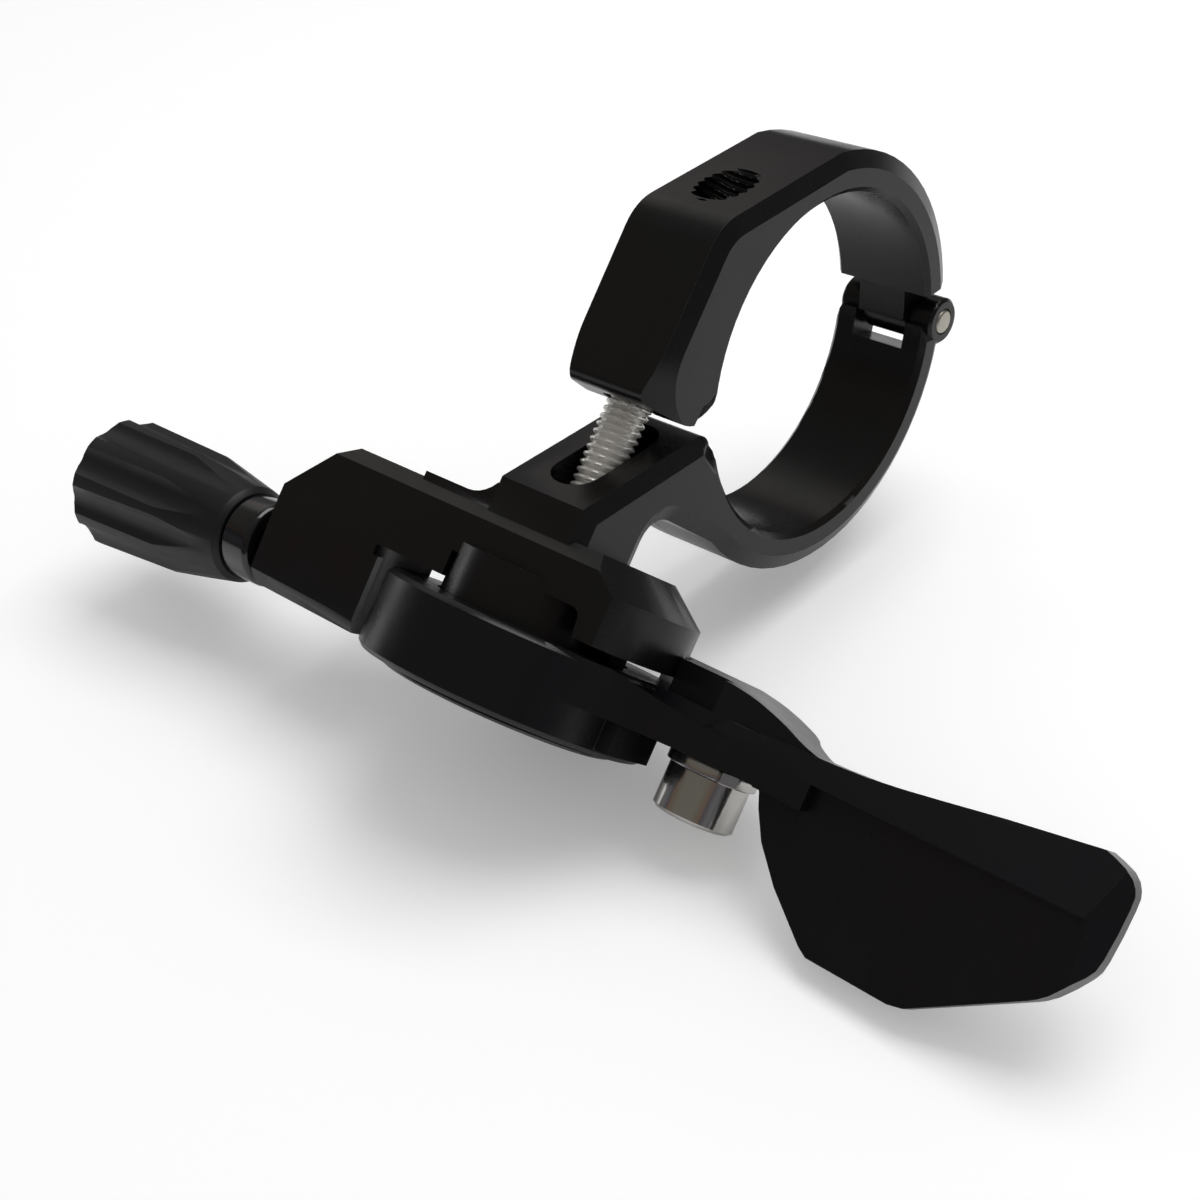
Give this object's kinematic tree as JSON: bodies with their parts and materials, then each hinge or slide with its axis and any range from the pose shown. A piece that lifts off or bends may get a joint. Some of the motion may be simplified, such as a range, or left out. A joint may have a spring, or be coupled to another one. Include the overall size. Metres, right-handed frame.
{
  "type": "dropper post remote lever",
  "caption": "Thumb lever on a large pivot bearing, hung from a hinged round bar clamp, with a barrel adjuster for the cable.",
  "frame": {"origin": "centre of the clamp's bore, at the middle of its width", "axes": "+X along the handlebar, +Y from the clamp bolt towards the hinge, +Z along the clamp bolt and the lever's pivot, up"},
  "size_m": [0.1102, 0.0507, 0.065],
  "materials": {
    "anodised_body": "black anodised, satin",
    "anodised_lever": "black anodised, satin",
    "stainless": "polished stainless steel",
    "pin_steel": "plain steel",
    "bearing_steel": "ground bearing steel",
    "cage_plastic": "moulded",
    "knob_plastic": "moulded, matte",
    "collar_plastic": "moulded, glossy",
    "seal_rubber": "moulded"
  },
  "bodies": {
    "body": {"main_body": "anodised_body", "hinge_pin": "pin_steel", "bearing_inner_ring": "bearing_steel", "bearing_retainer": "anodised_body"},
    "upper_jaw": {"upper_clamp": "anodised_body"},
    "bolt": {"clamp_bolt": "stainless"},
    "lever": {"lever": "anodised_lever", "bearing_outer_ring": "bearing_steel", "bearing_seal_upper": "seal_rubber", "bearing_seal_lower": "seal_rubber", "cable_clamp_bolt": "stainless", "cable_clamp_washer": "stainless"},
    "ball_cage": {"bearing_cage": "cage_plastic", "bearing_ball_01": "bearing_steel", "bearing_ball_02": "bearing_steel", "bearing_ball_03": "bearing_steel", "bearing_ball_04": "bearing_steel", "bearing_ball_05": "bearing_steel", "bearing_ball_06": "bearing_steel", "bearing_ball_07": "bearing_steel", "bearing_ball_08": "bearing_steel", "bearing_ball_09": "bearing_steel", "bearing_ball_10": "bearing_steel", "bearing_ball_11": "bearing_steel", "bearing_ball_12": "bearing_steel", "bearing_ball_13": "bearing_steel", "bearing_ball_14": "bearing_steel"},
    "adjuster": {"adjuster_screw": "anodised_body"},
    "knob": {"barrel_knob": "knob_plastic", "detent_collar": "collar_plastic"}
  },
  "joints": [
    {"name": "clamp_hinge", "type": "hinge", "parent": "body", "child": "upper_jaw", "pos_m": [0, 0.01576, 0.01043], "axis": [-1, 0, 0], "range_deg": [0, 3]},
    {"name": "clamp_bolt_slide", "type": "slide", "parent": "upper_jaw", "child": "bolt", "axis": [0, 0, -1], "range_m": [0, 0.0018]},
    {"name": "lever_pivot", "type": "hinge", "parent": "body", "child": "lever", "pos_m": [0, -0.0181, -0.0358], "axis": [0, 0, 1], "range_deg": [0, 35]},
    {"name": "cage_roll", "type": "hinge", "parent": "body", "child": "ball_cage", "pos_m": [0, -0.0181, -0.0358], "axis": [0, 0, 1], "range_deg": [0, 19.5]},
    {"name": "barrel_travel", "type": "slide", "parent": "body", "child": "adjuster", "axis": [-0.9986, 0, -0.0523], "range_m": [-0.0016, 0.0032]},
    {"name": "barrel_turn", "type": "hinge", "parent": "adjuster", "child": "knob", "pos_m": [-0.0271, -0.0205, -0.035], "axis": [-0.9986, 0, -0.0523], "range_deg": [-721, 1441]}
  ],
  "couplings": [
    {"joint": "clamp_bolt_slide", "follows": "clamp_hinge", "m_per_rad": 0.03386},
    {"joint": "cage_roll", "follows": "lever_pivot", "ratio": 0.5438},
    {"joint": "barrel_turn", "follows": "barrel_travel", "rad_per_m": 7854}
  ]
}
